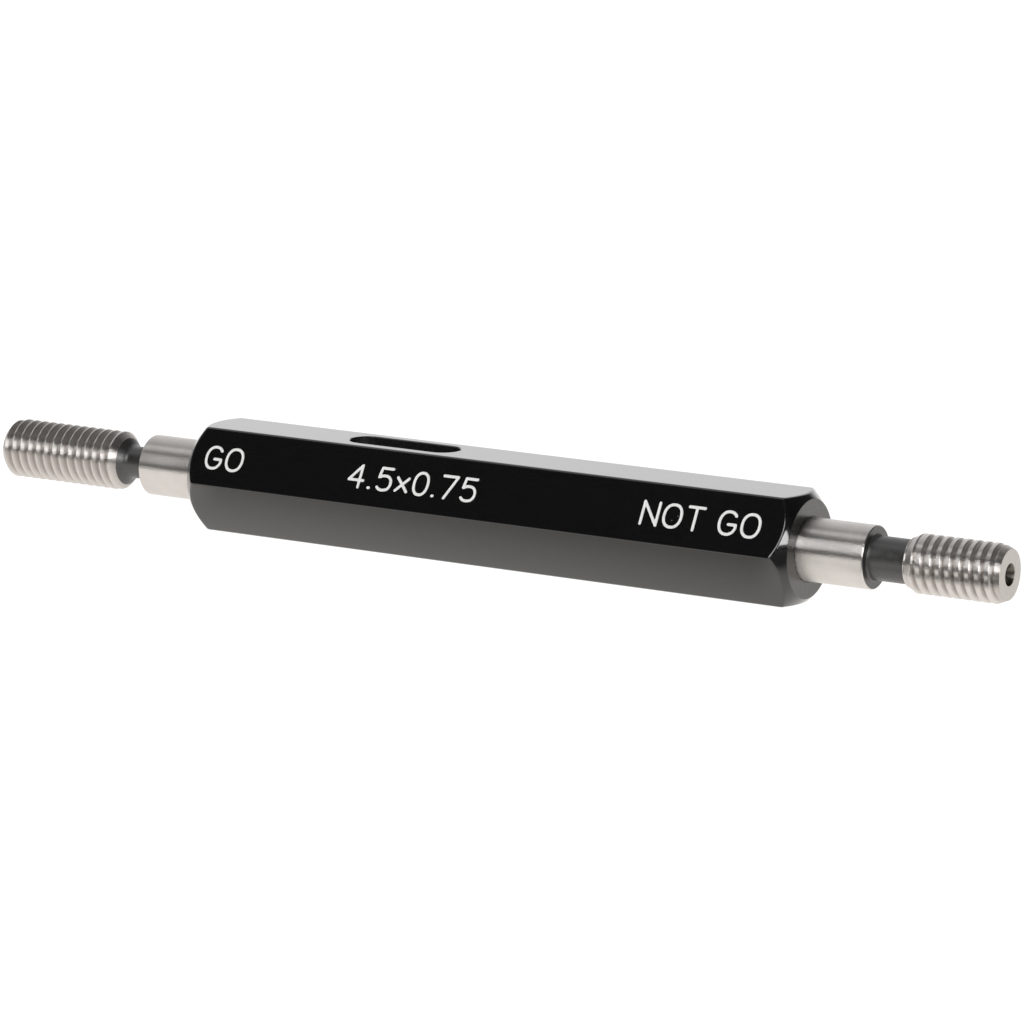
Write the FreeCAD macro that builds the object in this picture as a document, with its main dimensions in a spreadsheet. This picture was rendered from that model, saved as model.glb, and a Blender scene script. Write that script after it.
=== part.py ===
import FreeCAD, Part
import math
import os
import Sketcher

# A double-ended thread plug gauge for an M4.5 x 0.75 internal thread, in millimetres.
# A hexagonal handle holds two ground steel members by slow tapers: the GO member on -X,
# with the full thread form, and the NOT GO member on +X, with a few truncated turns.
# The axis is parallel to X at half the hexagon's height. The gauge rests on its bottom
# flat at z = 0, and x = 0 is the middle of the overall length.

SIZES = {
    # handle
    "handle_length": 50.8,
    "across_flats": 7.94,
    "edge_round": 0.25,
    "end_face_dia": 7.2,
    "end_bevel_angle": 45,
    "mouth_bevel": 0.12,
    # slow taper that holds each member, and the hole between the tapers
    "seat_dia": 4.6,
    "seat_depth": 13,
    "taper_ratio": 0.02,
    "knockout_dia": 3,
    # drift slot, through the handle from the top flat to the bottom flat
    "slot_length": 9.2,
    "slot_width": 2.8,
    "slot_centre": 17.1,
    # common to both members
    "pitch": 0.75,
    "flank_angle": 30,
    "inner_end_bevel": 0.3,
    "shank_edge_bevel": 0.06,
    "seat_end_gap": 0.1,
    "centre_pilot_dia": 0.5,
    "centre_pilot_depth": 1.9,
    "centre_half_angle": 30,
    # GO member, full thread form
    "go_shank": 5.35,
    "go_neck": 2.45,
    "go_neck_dia": 2.45,
    "go_neck_fillet": 0.5,
    "go_back_run": 0.5,
    "go_back_dia": 3.6,
    "go_back_bevel": 0.45,
    "go_thread": 10.6,
    "go_major_dia": 4.5,
    "go_groove_floor": 0.18,
    "go_root_dia": 3.67,
    "go_turns": 13,
    "go_groove_from_tip": 0.612,
    "go_lead_bevel": 0.45,
    "go_tip_dia": 3.6,
    "go_centre_dia": 1.6,
    # NOT GO member, truncated thread form and wide of the pitch line by the tolerance
    "notgo_shank": 5.2,
    "notgo_neck": 2.85,
    "notgo_neck_dia": 3.2,
    "notgo_neck_fillet": 0.2,
    "notgo_back_run": 0.1,
    "notgo_back_dia": 3.44,
    "notgo_back_bevel": 0.45,
    "notgo_thread": 7.45,
    "notgo_major_dia": 4.27,
    "notgo_groove_floor": 0.08,
    "notgo_root_dia": 3.66,
    "notgo_turns": 8,
    "notgo_groove_from_tip": 0.66,
    "notgo_lead_bevel": 0.7,
    "notgo_tip_dia": 3.66,
    "notgo_centre_dia": 1.62,
}

# The groove of each thread is cut this much proud of the crest, so that it opens cleanly.
GROOVE_PROUD = 0.03

# Where things lie in the part's own frame. Each member reaches out of the handle by its
# shank, neck and thread, and x = 0 halves the overall length.
AXIS_HEIGHT = "Sizes.across_flats / 2"
GO_REACH = "(Sizes.go_shank + Sizes.go_neck + Sizes.go_thread)"
NOTGO_REACH = "(Sizes.notgo_shank + Sizes.notgo_neck + Sizes.notgo_thread)"
HANDLE_START = f"({GO_REACH} - {NOTGO_REACH} - Sizes.handle_length) / 2"
TAPER = "(Sizes.seat_depth - Sizes.seat_end_gap)"


def make_sheet(doc):
    """The driving dimensions, one aliased cell each."""
    sheet = doc.addObject("Spreadsheet::Sheet", "Sizes")
    for row, (name, value) in enumerate(SIZES.items(), start=1):
        sheet.set(f"A{row}", name)
        sheet.set(f"B{row}", str(value))
        sheet.setAlias(f"B{row}", name)
    doc.recompute()
    return sheet


def origin_plane(body, role):
    return next(item for item in body.Origin.OriginFeatures if item.Role == role)


def new_body(doc, name):
    body = doc.addObject("PartDesign::Body", name)
    body.Label = name
    return body


def new_sketch(body, name, plane):
    sketch = body.newObject("Sketcher::SketchObject", name)
    sketch.AttachmentSupport = [(origin_plane(body, plane), "")]
    sketch.MapMode = "FlatFace"
    return sketch


def bind(thing, path, expression):
    thing.setExpression(path, expression)


def bind_point(sketch, edge, end, across, up):
    """Hold one end of an edge at (across, up) from the sketch's origin, both expressions."""
    place = sketch.getPoint(edge, end)
    for kind, now, expression in (("DistanceX", place.x, across), ("DistanceY", place.y, up)):
        index = sketch.addConstraint(Sketcher.Constraint(kind, -1, 1, edge, end, now))
        bind(sketch, f"Constraints[{index}]", expression)


def outline(sketch, corners):
    """A closed outline of straight edges through the corners, each a pair of expressions."""
    count = len(corners)
    turn = 2 * math.pi / count
    places = [FreeCAD.Vector(5 + 4 * math.cos(turn * i), 5 + 4 * math.sin(turn * i), 0)
              for i in range(count)]
    first = sketch.GeometryCount
    for i in range(count):
        sketch.addGeometry(Part.LineSegment(places[i], places[(i + 1) % count]), False)
    for i in range(count):
        after = first + (i + 1) % count
        sketch.addConstraint(Sketcher.Constraint("Coincident", first + i, 2, after, 1))
    for i, (across, up) in enumerate(corners):
        bind_point(sketch, first + i, 1, across, up)


def turned(body, kind, name, sketch):
    """A full turn of a sketch about the body's X axis."""
    feature = body.newObject(kind, name)
    feature.Profile = sketch
    feature.ReferenceAxis = (sketch, ["H_Axis"])
    feature.Angle = 360
    return feature


def build_handle(doc):
    """The hexagonal handle, with x = 0 of the body at the end that holds the GO member."""
    body = new_body(doc, "handle")
    bind(body, "Placement.Base.x", HANDLE_START)
    bind(body, "Placement.Base.z", AXIS_HEIGHT)

    # The bar: a hexagon standing on a flat.
    section = new_sketch(body, "hexagon", "YZ_Plane")
    half = "Sizes.across_flats / 2"
    corner = "Sizes.across_flats / 2 / cos(30)"
    side = "Sizes.across_flats / 2 * tan(30)"
    outline(section, [
        (corner, "0"), (side, half), (f"-{side}", half),
        (f"-{corner}", "0"), (f"-{side}", f"-{half}"), (side, f"-{half}"),
    ])
    bar = body.newObject("PartDesign::Pad", "bar")
    bar.Profile = section
    bind(bar, "Length", "Sizes.handle_length")
    doc.recompute()

    # Softly rounded long edges.
    long_edges = [f"Edge{i}" for i, edge in enumerate(bar.Shape.Edges, start=1)
                  if abs(edge.tangentAt(edge.FirstParameter).x) > 0.99]
    rounding = body.newObject("PartDesign::Fillet", "rounding")
    rounding.Base = (bar, long_edges)
    bind(rounding, "Radius", "Sizes.edge_round")
    doc.recompute()

    # Both ends turned to a cone that leaves a round end face.
    cones = new_sketch(body, "end_cones", "XZ_Plane")
    face = "Sizes.end_face_dia / 2"
    outer = "Sizes.across_flats"
    run = "(Sizes.across_flats - Sizes.end_face_dia / 2) / tan(Sizes.end_bevel_angle)"
    long = "Sizes.handle_length"
    outline(cones, [("0", face), (run, outer), ("0", outer)])
    outline(cones, [(long, face), (long, outer), (f"{long} - {run}", outer)])
    turned(body, "PartDesign::Groove", "turned_ends", cones)

    # Taper seats from both ends, with a plain hole from the NOT GO seat to the slot.
    seats = new_sketch(body, "seats", "XZ_Plane")
    mouth = "Sizes.seat_dia / 2"
    lip = f"{mouth} + Sizes.mouth_bevel"
    depth = "Sizes.seat_depth"
    end = f"{mouth} - {depth} * Sizes.taper_ratio / 2"
    bevel = "Sizes.mouth_bevel"
    hole = "Sizes.knockout_dia / 2"
    start = f"{mouth} - {bevel} * Sizes.taper_ratio / 2"
    outline(seats, [("0", "0"), ("0", lip), (bevel, start), (depth, end), (depth, "0")])
    outline(seats, [
        (long, "0"), (long, lip), (f"{long} - {bevel}", start), (f"{long} - {depth}", end),
        (f"{long} - {depth}", hole), ("Sizes.slot_centre", hole), ("Sizes.slot_centre", "0"),
    ])
    turned(body, "PartDesign::Groove", "taper_seats", seats)

    # The drift slot: two straight sides joined by half circles.
    slot = new_sketch(body, "slot", "XY_Plane")
    radius = SIZES["slot_width"] / 2
    reach = SIZES["slot_length"] / 2 - radius
    left = SIZES["slot_centre"] - reach
    right = SIZES["slot_centre"] + reach
    up = FreeCAD.Vector(0, 0, 1)
    quarter = math.pi / 2
    slot.addGeometry([
        Part.LineSegment(FreeCAD.Vector(left, -radius, 0), FreeCAD.Vector(right, -radius, 0)),
        Part.ArcOfCircle(Part.Circle(FreeCAD.Vector(right, 0, 0), up, radius), -quarter, quarter),
        Part.LineSegment(FreeCAD.Vector(right, radius, 0), FreeCAD.Vector(left, radius, 0)),
        Part.ArcOfCircle(Part.Circle(FreeCAD.Vector(left, 0, 0), up, radius), quarter, 3 * quarter),
    ], False)
    bottom, right_arc, top, left_arc = range(4)
    for first, second in ((bottom, right_arc), (right_arc, top), (top, left_arc), (left_arc, bottom)):
        slot.addConstraint(Sketcher.Constraint("Tangent", first, 2, second, 1))
    half_reach = "(Sizes.slot_length - Sizes.slot_width) / 2"
    for arc, centre, place in ((left_arc, left, f"Sizes.slot_centre - {half_reach}"),
                               (right_arc, right, f"Sizes.slot_centre + {half_reach}")):
        slot.addConstraint(Sketcher.Constraint("PointOnObject", arc, 3, -1))
        index = slot.addConstraint(Sketcher.Constraint("DistanceX", -1, 1, arc, 3, centre))
        bind(slot, f"Constraints[{index}]", place)
    slot.addConstraint(Sketcher.Constraint("Equal", right_arc, left_arc))
    index = slot.addConstraint(Sketcher.Constraint("Radius", right_arc, radius))
    bind(slot, f"Constraints[{index}]", "Sizes.slot_width / 2")
    pocket = body.newObject("PartDesign::Pocket", "drift_slot")
    pocket.Profile = slot
    pocket.Type = "ThroughAll"
    pocket.Midplane = True
    doc.recompute()
    return body


def round_corners(body, name, base, corners):
    """Round the circular edges of a turned base that lie at the given (x, radius) corners."""
    found = []
    for i, edge in enumerate(base.Shape.Edges, start=1):
        circle = edge.Curve
        if not isinstance(circle, Part.Circle):
            continue
        if any(math.isclose(circle.Center.x, x, abs_tol=1e-4)
               and math.isclose(circle.Radius, radius, abs_tol=1e-4) for x, radius in corners):
            found.append(f"Edge{i}")
    if len(found) != len(corners):
        raise RuntimeError(f"{name}: {len(found)} edges found, {len(corners)} wanted")
    rounding = body.newObject("PartDesign::Fillet", name)
    rounding.Base = (base, found)
    return rounding


def build_member(doc, name, end, inner_end, heading):
    """One gauging member, with x = 0 of the body at its inner end and the tip at high x.

    `end` is the prefix of the member's own sizes, `inner_end` says where it stops inside
    the handle, and `heading` turns it about the vertical so that its tip points outwards.
    """
    body = new_body(doc, name)
    body.Placement.Rotation = FreeCAD.Rotation(FreeCAD.Vector(0, 0, 1), heading)
    bind(body, "Placement.Base.x", inner_end)
    bind(body, "Placement.Base.z", AXIS_HEIGHT)
    own = f"Sizes.{end}_"
    size = {key: SIZES[f"{end}_{key}"] for key in ("shank", "neck", "neck_dia", "back_run")}

    # Stations along the axis, from the inner end of the taper to the tip.
    shank = f"({TAPER} + {own}shank)"
    neck = f"({shank} + {own}neck)"
    tip = f"({neck} + {own}thread)"

    seat = "Sizes.seat_dia / 2"
    small = f"({seat} - {TAPER} * Sizes.taper_ratio / 2)"
    bevel = "Sizes.inner_end_bevel"
    edge = "Sizes.shank_edge_bevel"
    crest = f"{own}major_dia / 2"
    waist = f"{own}neck_dia / 2"
    mouth = f"{own}centre_dia / 2"
    pilot = "Sizes.centre_pilot_dia / 2"
    cone = f"({mouth} - {pilot}) / tan(Sizes.centre_half_angle)"

    blank = new_sketch(body, f"{name}_blank", "XZ_Plane")
    outline(blank, [
        ("0", "0"), ("0", f"{small} - {bevel}"), (bevel, f"{small} + {bevel} * Sizes.taper_ratio / 2"),
        (TAPER, seat), (f"{shank} - {edge}", seat), (shank, f"{seat} - {edge}"),
        (shank, waist), (f"{neck} - {own}back_run", waist), (neck, f"{own}back_dia / 2"),
        (f"{neck} + {own}back_bevel", crest), (f"{tip} - {own}lead_bevel", crest),
        (tip, f"{own}tip_dia / 2"), (tip, mouth), (f"{tip} - {cone}", pilot),
        (f"{tip} - Sizes.centre_pilot_depth", pilot), (f"{tip} - Sizes.centre_pilot_depth", "0"),
    ])
    turning = turned(body, "PartDesign::Revolution", f"{name}_turning", blank)
    doc.recompute()

    # The neck runs out in fillets at both ends.
    shoulder = SIZES["seat_depth"] - SIZES["seat_end_gap"] + size["shank"]
    ends = [shoulder, shoulder + size["neck"] - size["back_run"]]
    rounding = round_corners(body, f"{name}_neck_fillets", turning,
                             [(x, size["neck_dia"] / 2) for x in ends])
    bind(rounding, "Radius", f"{own}neck_fillet")
    doc.recompute()

    # The thread: one groove swept along a right-hand helix that starts behind the last
    # full turn and leaves through the tip.
    root = f"{own}root_dia / 2"
    proud = f"{crest} + {GROOVE_PROUD}"
    start = f"({tip} - {own}groove_from_tip - {own}turns * Sizes.pitch)"
    floor = f"{own}groove_floor / 2"
    mouth_half = f"({floor} + ({proud} - {root}) * tan(Sizes.flank_angle))"
    groove = new_sketch(body, f"{name}_groove", "XZ_Plane")
    outline(groove, [
        (f"{start} - {floor}", root), (f"{start} + {floor}", root),
        (f"{start} + {mouth_half}", proud), (f"{start} - {mouth_half}", proud),
    ])
    thread = body.newObject("PartDesign::SubtractiveHelix", f"{name}_thread")
    thread.Profile = groove
    thread.ReferenceAxis = (groove, ["H_Axis"])
    thread.Mode = "pitch-height-angle"
    bind(thread, "Pitch", "Sizes.pitch")
    bind(thread, "Height", f"({own}turns + 1) * Sizes.pitch + {own}groove_from_tip")
    doc.recompute()
    return body


def main():
    doc = FreeCAD.newDocument("thread_plug_gauge")
    make_sheet(doc)
    nodes = [
        build_handle(doc),
        build_member(doc, "go_member", "go", f"{HANDLE_START} + {TAPER}", 180),
        build_member(doc, "not_go_member", "notgo",
                     f"{HANDLE_START} + Sizes.handle_length - {TAPER}", 0),
    ]
    doc.recompute()
    for item in doc.Objects:
        if "Invalid" in item.State or "Error" in item.State:
            raise RuntimeError(f"{item.Label} did not build: {item.State}")
    os.makedirs("parts", exist_ok=True)
    for node in nodes:
        shape = node.Shape
        if shape.isNull() or not shape.isValid():
            raise RuntimeError(f"{node.Label} has no valid shape")
        shape.exportStep(f"parts/{node.Label}.step")
        box = shape.BoundBox
        print(f"{node.Label}: {shape.Volume:.2f} mm3, {len(shape.Solids)} solid,"
              f" x {box.XMin:.2f} to {box.XMax:.2f}, z {box.ZMin:.2f} to {box.ZMax:.2f}")


main()
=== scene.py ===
# %% [markdown]
# # A double-ended thread plug gauge
#
# A machinist screws this small tool into a tapped hole to check the hole's thread. The long end
# has to go in, the short end must not. It is made of three pieces: a black hexagonal handle and
# two ground steel members that are pressed into its ends on a slight taper.
#
# The sizes come from a CAD model that is loaded first and never moved. Each Blender piece made
# here takes the place of one CAD solid and adds what the solid leaves out: rounded edges,
# thread crests that fade out, engraving, turning marks and finishes.

# %% Load the CAD frame
import math

import bmesh
import bpy
from mathutils import Matrix, Vector


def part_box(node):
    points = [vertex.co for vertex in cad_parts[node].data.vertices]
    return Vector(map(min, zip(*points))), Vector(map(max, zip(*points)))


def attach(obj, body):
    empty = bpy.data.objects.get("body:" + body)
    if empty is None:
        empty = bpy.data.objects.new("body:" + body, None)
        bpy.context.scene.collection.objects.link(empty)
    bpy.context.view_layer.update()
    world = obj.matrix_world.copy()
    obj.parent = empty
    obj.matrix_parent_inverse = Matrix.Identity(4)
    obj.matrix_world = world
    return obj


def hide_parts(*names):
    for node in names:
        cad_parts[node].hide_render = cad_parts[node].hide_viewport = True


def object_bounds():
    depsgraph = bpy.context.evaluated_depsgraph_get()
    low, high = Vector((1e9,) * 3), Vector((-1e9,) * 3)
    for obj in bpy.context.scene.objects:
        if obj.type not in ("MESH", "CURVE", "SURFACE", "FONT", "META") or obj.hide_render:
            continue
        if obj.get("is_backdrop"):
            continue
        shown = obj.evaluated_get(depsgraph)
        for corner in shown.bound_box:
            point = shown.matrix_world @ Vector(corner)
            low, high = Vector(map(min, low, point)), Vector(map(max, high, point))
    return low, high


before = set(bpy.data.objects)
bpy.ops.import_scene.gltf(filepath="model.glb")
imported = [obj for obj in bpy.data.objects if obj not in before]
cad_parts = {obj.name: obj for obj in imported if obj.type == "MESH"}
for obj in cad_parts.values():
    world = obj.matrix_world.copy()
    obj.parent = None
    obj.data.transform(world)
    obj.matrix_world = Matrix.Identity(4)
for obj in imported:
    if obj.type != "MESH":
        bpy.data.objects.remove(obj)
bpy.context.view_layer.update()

# %% [markdown]
# ## Where things are
#
# Blender works in metres, but a gauge is easier to think about in millimetres. So the meshes are
# drawn in millimetres and shrunk once, when they are finished. The CAD boxes say where the
# handle ends, where the two tips are and how high the common axis lies above the table.

# %% Read the main places from the CAD boxes
MM = 0.001


def box_mm(node):
    """A CAD node's lowest and highest corners in millimetres."""
    low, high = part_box(node)
    return low / MM, high / MM


handle_low, handle_high = box_mm("handle")
HANDLE_LEFT, HANDLE_RIGHT = handle_low.x, handle_high.x
HANDLE_LENGTH = HANDLE_RIGHT - HANDLE_LEFT
ACROSS_FLATS = handle_high.z - handle_low.z
AXIS_Z = handle_low.z + ACROSS_FLATS / 2
GO_TIP, GO_INNER = box_mm("go_member")[0].x, box_mm("go_member")[1].x
NOTGO_INNER, NOTGO_TIP = box_mm("not_go_member")[0].x, box_mm("not_go_member")[1].x
print(f"handle {HANDLE_LEFT:.2f} to {HANDLE_RIGHT:.2f} mm, axis {AXIS_Z:.2f} mm above the table")
print(f"tips at {GO_TIP:.2f} and {NOTGO_TIP:.2f} mm")

# %% [markdown]
# ## Two small helpers
#
# Nearly every shape on this tool is a line turned round the axis, with its corners slightly
# broken, as a lathe hand does with a file. `softened` draws such a line: it replaces each corner
# by a short arc. `NodeTree` makes node trees read almost like sums, for the threads and for the
# materials alike.

# %% Lines with broken corners
def softened(corners, steps=5):
    """Points of a line through (along, out, rounding) corners, each corner a small arc."""
    line = [Vector(corners[0][:2])]
    for before, corner, after in zip(corners, corners[1:], corners[2:]):
        here, rounding = Vector(corner[:2]), corner[2]
        back, ahead = Vector(before[:2]) - here, Vector(after[:2]) - here
        if rounding <= 0 or back.length == 0 or ahead.length == 0:
            line.append(here)
            continue
        turn = back.angle(ahead)
        reach = min(rounding / math.tan(turn / 2), back.length * 0.49, ahead.length * 0.49)
        start, end = here + back.normalized() * reach, here + ahead.normalized() * reach
        for i in range(steps + 1):
            t = i / steps
            line.append(start * (1 - t) ** 2 + here * (2 * t * (1 - t)) + end * t**2)
    line.append(Vector(corners[-1][:2]))
    return line


# %% Short calls for node trees
class NodeTree:
    """Adds nodes to a tree. Inputs may be sockets, numbers or vectors."""

    def __init__(self, tree):
        self.tree = tree

    def feed(self, socket, value):
        if isinstance(value, bpy.types.NodeSocket):
            self.tree.links.new(value, socket)
        elif value is not None:
            socket.default_value = value

    def add(self, kind, inputs=(), **settings):
        node = self.tree.nodes.new(kind)
        for name, value in settings.items():
            setattr(node, name, value)
        pairs = inputs.items() if isinstance(inputs, dict) else enumerate(inputs)
        for name, value in pairs:
            self.feed(node.inputs[name], value)
        return node

    def sum(self, operation, *values):
        return self.add("ShaderNodeMath", values, operation=operation).outputs[0]

    def vector(self, x=0.0, y=0.0, z=0.0):
        return self.add("ShaderNodeCombineXYZ", (x, y, z)).outputs[0]

    def split(self, vector):
        return self.add("ShaderNodeSeparateXYZ", (vector,)).outputs

    def ramp(self, value, low, high, out_low=0.0, out_high=1.0, smooth=False):
        kind = "SMOOTHSTEP" if smooth else "LINEAR"
        node = self.add("ShaderNodeMapRange", interpolation_type=kind)
        for name, number in zip(
            ("Value", "From Min", "From Max", "To Min", "To Max"),
            (value, low, high, out_low, out_high),
        ):
            self.feed(node.inputs[name], number)
        return node.outputs["Result"]


# %% [markdown]
# ## Finishes
#
# The handle is black and glossy, with a clear top layer over a dark body, so it is modelled as
# a dark base with a coat. Its end faces and the slot's walls are duller. The measuring surfaces
# are ground bright, and grinding leaves fine rings round the axis: they spread a reflection
# lengthwise far more than crosswise, which is what anisotropy does. The tips are turned and not
# ground, so they have no such spread. The necks and shoulders keep the black oxide of the blank,
# with the lathe's feed lines in it. The engraving is filled with white.
#
# All patterns read Object coordinates, which are metres in the CAD frame here, so they stay in
# place from every side.

# %% A finish's start
def new_finish(name):
    """A material with an empty Principled shader; returns it with its tree and shader."""
    material = bpy.data.materials.new(name)
    material.use_nodes = True
    tree = NodeTree(material.node_tree)
    shader = material.node_tree.nodes["Principled BSDF"]
    return material, tree, shader


def colour(red, green, blue):
    return (red, green, blue, 1.0)


def place_mm(tree):
    """Object coordinates in millimetres, measured from the gauge's axis: x, y and z sockets."""
    coordinates = tree.add("ShaderNodeTexCoord").outputs["Object"]
    moved = tree.add("ShaderNodeMapping", (coordinates,), vector_type="POINT")
    moved.inputs["Location"].default_value = (0.0, 0.0, -AXIS_Z)
    moved.inputs["Scale"].default_value = (1 / MM, 1 / MM, 1 / MM)
    return tree.split(moved.outputs[0])


def from_axis(tree, y, z):
    """Distance from the gauge's axis and the angle round it."""
    squares = tree.sum("ADD", tree.sum("MULTIPLY", y, y), tree.sum("MULTIPLY", z, z))
    return tree.sum("SQRT", squares), tree.sum("ARCTAN2", z, y)


def noise(tree, vector, scale, detail=3.0, roughness=0.5):
    node = tree.add("ShaderNodeTexNoise", noise_dimensions="3D")
    tree.feed(node.inputs["Vector"], vector)
    for name, value in (("Scale", scale), ("Detail", detail), ("Roughness", roughness)):
        node.inputs[name].default_value = value
    return node.outputs["Fac"]


# In a colour mix the sockets share their names, so they are found by their type.
def colour_mix(tree, amount, first, second):
    node = tree.add("ShaderNodeMix", data_type="RGBA")
    tree.feed(node.inputs[0], amount)
    tree.feed(node.inputs[6], first)
    tree.feed(node.inputs[7], second)
    return node.outputs[2]


def bump(tree, height, distance, strength=1.0):
    node = tree.add("ShaderNodeBump")
    node.inputs["Strength"].default_value = strength
    node.inputs["Distance"].default_value = distance
    tree.feed(node.inputs["Height"], height)
    return node.outputs["Normal"]


def set_shader(shader, **values):
    for name, value in values.items():
        shader.inputs[name.replace("_", " ")].default_value = value


# %% Black handle
def black_handle_finish():
    material, tree, shader = new_finish("handle_black_gloss")
    x, y, z = place_mm(tree)
    set_shader(shader, Roughness=0.16, IOR=1.5)
    set_shader(shader, Coat_Weight=1.0, Coat_Roughness=0.06, Coat_IOR=1.5)
    drawn = noise(tree, tree.vector(tree.sum("MULTIPLY", x, 0.25), y, z), 3.0, 5.0)
    fine = noise(tree, tree.vector(x, y, z), 7.0, 2.0)
    tint = colour_mix(tree, drawn, colour(0.002, 0.002, 0.0022), colour(0.0055, 0.005, 0.005))
    # A few pale specks of dust: one small dot in some of the cells that fill the space.
    cells = tree.add("ShaderNodeTexVoronoi", {"Vector": tree.vector(x, y, z), "Scale": 0.9})
    _, chosen, _ = tree.split(cells.outputs["Color"])
    dot = tree.ramp(cells.outputs["Distance"], 0.05, 0.035)
    speck = tree.sum("MULTIPLY", dot, tree.sum("GREATER_THAN", chosen, 0.72))
    tint = colour_mix(tree, tree.sum("MULTIPLY", speck, 0.35), tint, colour(0.4, 0.4, 0.4))
    tree.feed(shader.inputs["Base Color"], tint)
    tree.feed(shader.inputs["Roughness"], tree.ramp(fine, 0.3, 0.7, 0.12, 0.2))
    height = tree.sum("MULTIPLY_ADD", fine, 0.8, drawn)
    tree.feed(shader.inputs["Normal"], bump(tree, height, 0.0000015))
    return material


def black_faced_finish():
    """The end faces and the slot's walls: the same black, duller, over the cutter's rings."""
    material, tree, shader = new_finish("handle_black_faced")
    x, y, z = place_mm(tree)
    radius, _ = from_axis(tree, y, z)
    set_shader(shader, Roughness=0.28, IOR=1.9)
    rings = noise(tree, tree.vector(tree.sum("MULTIPLY", radius, 9.0), 0.0, 0.0), 1.0, 3.0)
    patches = noise(tree, tree.vector(x, y, z), 4.0, 3.0)
    tint = colour_mix(tree, patches, colour(0.006, 0.0055, 0.0055), colour(0.018, 0.0165, 0.016))
    tree.feed(shader.inputs["Base Color"], tint)
    tree.feed(shader.inputs["Roughness"], tree.ramp(patches, 0.3, 0.7, 0.23, 0.33))
    tree.feed(shader.inputs["Normal"], bump(tree, rings, 0.000004))
    return material


# %% Ground steel
def ground_steel_finish():
    """Steel ground round the axis, bright on the lands; down in the thread rougher, with painted
    shade.
    """
    material, tree, shader = new_finish("gauge_steel_ground")
    x, y, z = place_mm(tree)
    radius, angle = from_axis(tree, y, z)
    set_shader(shader, Metallic=1.0, Roughness=0.32, Anisotropic=0.93, Anisotropic_Rotation=0.25)
    around = tree.vector(0.0, tree.sum("MULTIPLY", z, -1.0), y)
    tree.feed(shader.inputs["Tangent"], around)
    marks = tree.vector(
        tree.sum("MULTIPLY", x, 14.0), tree.sum("MULTIPLY", angle, 2.0),
        tree.sum("MULTIPLY", radius, 14.0),
    )
    rings = noise(tree, marks, 1.0, 4.0, 0.65)
    grain = noise(tree, tree.vector(x, y, z), 7.0, 2.0)
    cloud = noise(tree, tree.vector(x, y, z), 0.8, 3.0)
    clean = colour_mix(tree, cloud, colour(0.655, 0.625, 0.60), colour(0.755, 0.72, 0.695))
    # The thread's grooves are painted darker and browner than the crests, as painted shade.
    groove = tree.add("ShaderNodeAttribute", attribute_name="groove").outputs["Fac"]
    tint = colour_mix(tree, tree.sum("MULTIPLY", groove, 0.32), clean, colour(0.22, 0.18, 0.155))
    tree.feed(shader.inputs["Base Color"], tint)
    ringed = tree.ramp(rings, 0.3, 0.7, 0.28, 0.37)
    rough = tree.sum("ADD", ringed, tree.sum("MULTIPLY", groove, 0.08))
    tree.feed(shader.inputs["Roughness"], rough)
    height = tree.sum("MULTIPLY_ADD", rings, 0.25, grain)
    tree.feed(shader.inputs["Normal"], bump(tree, height, 0.000011))
    return material


def faced_steel_finish():
    """The tips' flat faces and centre holes, which are turned and not ground."""
    material, tree, shader = new_finish("gauge_steel_faced")
    x, y, z = place_mm(tree)
    radius, _ = from_axis(tree, y, z)
    set_shader(shader, Metallic=1.0, Roughness=0.34)
    rings = noise(tree, tree.vector(tree.sum("MULTIPLY", radius, 8.0), 0.0, 0.0), 1.0, 3.0, 0.6)
    patches = noise(tree, tree.vector(x, y, z), 3.0, 4.0)
    tint = colour_mix(tree, patches, colour(0.40, 0.38, 0.36), colour(0.68, 0.65, 0.625))
    # The centre hole is painted darker: painted shade inside the hole.
    hole_shade = tree.ramp(radius, 0.84, 0.78)
    tint = colour_mix(tree, hole_shade, tint, colour(0.16, 0.145, 0.13))
    tree.feed(shader.inputs["Base Color"], tint)
    tree.feed(shader.inputs["Roughness"], tree.ramp(patches, 0.3, 0.7, 0.28, 0.4))
    height = tree.sum("MULTIPLY_ADD", rings, 1.5, patches)
    tree.feed(shader.inputs["Normal"], bump(tree, height, 0.00001))
    return material


# %% Black oxide
def black_oxide_finish():
    material, tree, shader = new_finish("gauge_black_oxide")
    x, y, z = place_mm(tree)
    radius, _ = from_axis(tree, y, z)
    set_shader(shader, Roughness=0.3, IOR=1.85)
    feed = tree.vector(tree.sum("MULTIPLY", x, 7.0), 0.0, tree.sum("MULTIPLY", radius, 7.0))
    feed_lines = noise(tree, feed, 1.0, 3.0, 0.7)
    patches = noise(tree, tree.vector(x, y, z), 2.5, 4.0)
    tint = colour_mix(tree, patches, colour(0.017, 0.0163, 0.0158), colour(0.033, 0.0315, 0.0305))
    tree.feed(shader.inputs["Base Color"], tint)
    tree.feed(shader.inputs["Roughness"], tree.ramp(patches, 0.3, 0.7, 0.30, 0.42))
    tree.feed(shader.inputs["Normal"], bump(tree, feed_lines, 0.00001))
    return material


# %% White paint of the engraving
def white_fill_finish():
    material, tree, shader = new_finish("engraving_white_fill")
    x, y, z = place_mm(tree)
    set_shader(shader, Roughness=0.6, IOR=1.45)
    grain = noise(tree, tree.vector(x, y, z), 12.0, 3.0)
    tint = colour_mix(tree, grain, colour(0.80, 0.80, 0.79), colour(0.92, 0.92, 0.91))
    tree.feed(shader.inputs["Base Color"], tint)
    tree.feed(shader.inputs["Normal"], bump(tree, grain, 0.00001))
    return material


HANDLE_BLACK = black_handle_finish()
BLACK_FACED = black_faced_finish()
GROUND_STEEL = ground_steel_finish()
FACED_STEEL = faced_steel_finish()
BLACK_OXIDE = black_oxide_finish()
WHITE_FILL = white_fill_finish()
print("finishes:", ", ".join(material.name for material in bpy.data.materials))

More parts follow.
